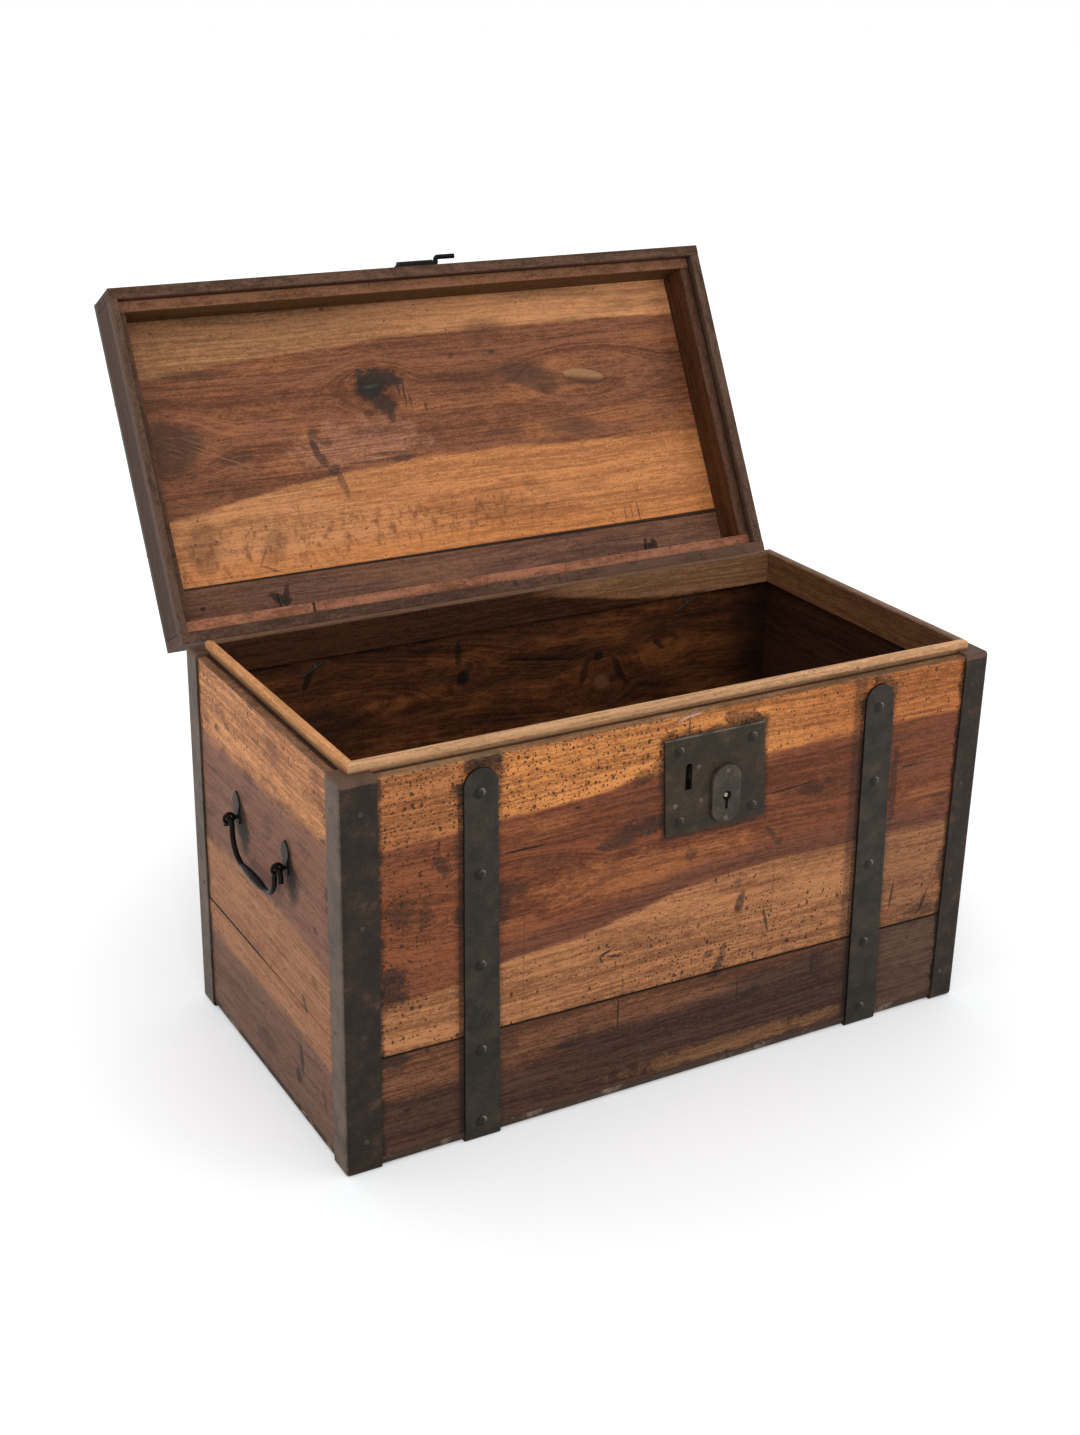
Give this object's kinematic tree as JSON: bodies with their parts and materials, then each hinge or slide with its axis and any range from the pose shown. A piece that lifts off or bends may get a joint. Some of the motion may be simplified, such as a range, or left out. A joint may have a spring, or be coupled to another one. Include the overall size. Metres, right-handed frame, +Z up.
{
  "type": "storage trunk",
  "caption": "Wooden storage trunk with iron corners and straps, hasp lock, drop handles at both ends and a hinged tray lid, shown open.",
  "frame": {"origin": "centre of the box's underside, on the floor", "axes": "+X to the right along the width, -Y is the front with the lock, +Z up"},
  "size_m": [0.831, 0.7603, 0.8114],
  "materials": {
    "bottom_wood": "dark worn softwood",
    "box_wood": "waxed old softwood boards with tan and red-brown bands and worm holes",
    "frame_wood": "dark waxed softwood",
    "lid_wood": "waxed softwood with a knot and long red and tan bands",
    "lip_wood": "pale worn softwood",
    "lock_steel": "dull worked steel",
    "nail_iron": "blackened iron, rubbed bright on top",
    "old_iron": "blackened wrought iron, rusty in places"
  },
  "bodies": {
    "chest": {"back_left_iron": "old_iron", "back_lip": "lip_wood", "back_lower_board": "box_wood", "back_right_iron": "old_iron", "back_upper_board": "box_wood", "bolt_keeper": "lock_steel", "bolt_spring": "lock_steel", "bottom_back_board": "bottom_wood", "bottom_front_board": "bottom_wood", "chest_hinge_eyes": "old_iron", "corner_nails": "nail_iron", "cover_rivets": "nail_iron", "front_left_iron": "old_iron", "front_lip": "lip_wood", "front_lower_board": "box_wood", "front_right_iron": "old_iron", "front_upper_board": "box_wood", "key_pin": "lock_steel", "keyhole_cover": "old_iron", "left_handle_eyes": "old_iron", "left_leaf_plates": "old_iron", "left_lip": "lip_wood", "left_lower_board": "box_wood", "left_strap": "old_iron", "left_upper_board": "box_wood", "lock_case": "old_iron", "lock_plate": "old_iron", "lock_rivets": "nail_iron", "plate_nails": "nail_iron", "right_handle_eyes": "old_iron", "right_leaf_plates": "old_iron", "right_lip": "lip_wood", "right_lower_board": "box_wood", "right_strap": "old_iron", "right_upper_board": "box_wood", "strap_nails": "nail_iron"},
    "lid": {"hasp_hinge_plate": "old_iron", "hasp_pin": "old_iron", "hinge_plate_nails": "nail_iron", "lid_back_skirt": "frame_wood", "lid_back_strip": "frame_wood", "lid_front_skirt": "frame_wood", "lid_front_strip": "frame_wood", "lid_hinge_eyes": "old_iron", "lid_left_skirt": "frame_wood", "lid_left_strip": "frame_wood", "lid_nails": "nail_iron", "lid_narrow_board": "lid_wood", "lid_right_skirt": "frame_wood", "lid_right_strip": "frame_wood", "lid_wide_board": "lid_wood"},
    "hasp": {"hasp": "old_iron", "hasp_staple": "old_iron"},
    "bolt": {"lock_bolt": "lock_steel"},
    "left_bail": {"left_bail": "old_iron"},
    "right_bail": {"right_bail": "old_iron"}
  },
  "joints": [
    {"name": "lid_hinge", "type": "hinge", "parent": "chest", "child": "lid", "pos_m": [0, 0.2132, 0.438], "axis": [1, 0, 0], "range_deg": [0, 118]},
    {"name": "hasp_hinge", "type": "hinge", "parent": "lid", "child": "hasp", "pos_m": [-0.00175, 0.43853, 0.80044], "axis": [1, 0, 0], "range_deg": [0, 180]},
    {"name": "bolt_slide", "type": "slide", "parent": "chest", "child": "bolt", "axis": [-1, 0, 0], "range_m": [0, 0.018]},
    {"name": "left_bail_hinge", "type": "hinge", "parent": "chest", "child": "left_bail", "pos_m": [-0.408, 0, 0.293], "axis": [0, 1, 0], "range_deg": [-6, 186]},
    {"name": "right_bail_hinge", "type": "hinge", "parent": "chest", "child": "right_bail", "pos_m": [0.408, 0, 0.293], "axis": [0, -1, 0], "range_deg": [-6, 186]}
  ]
}
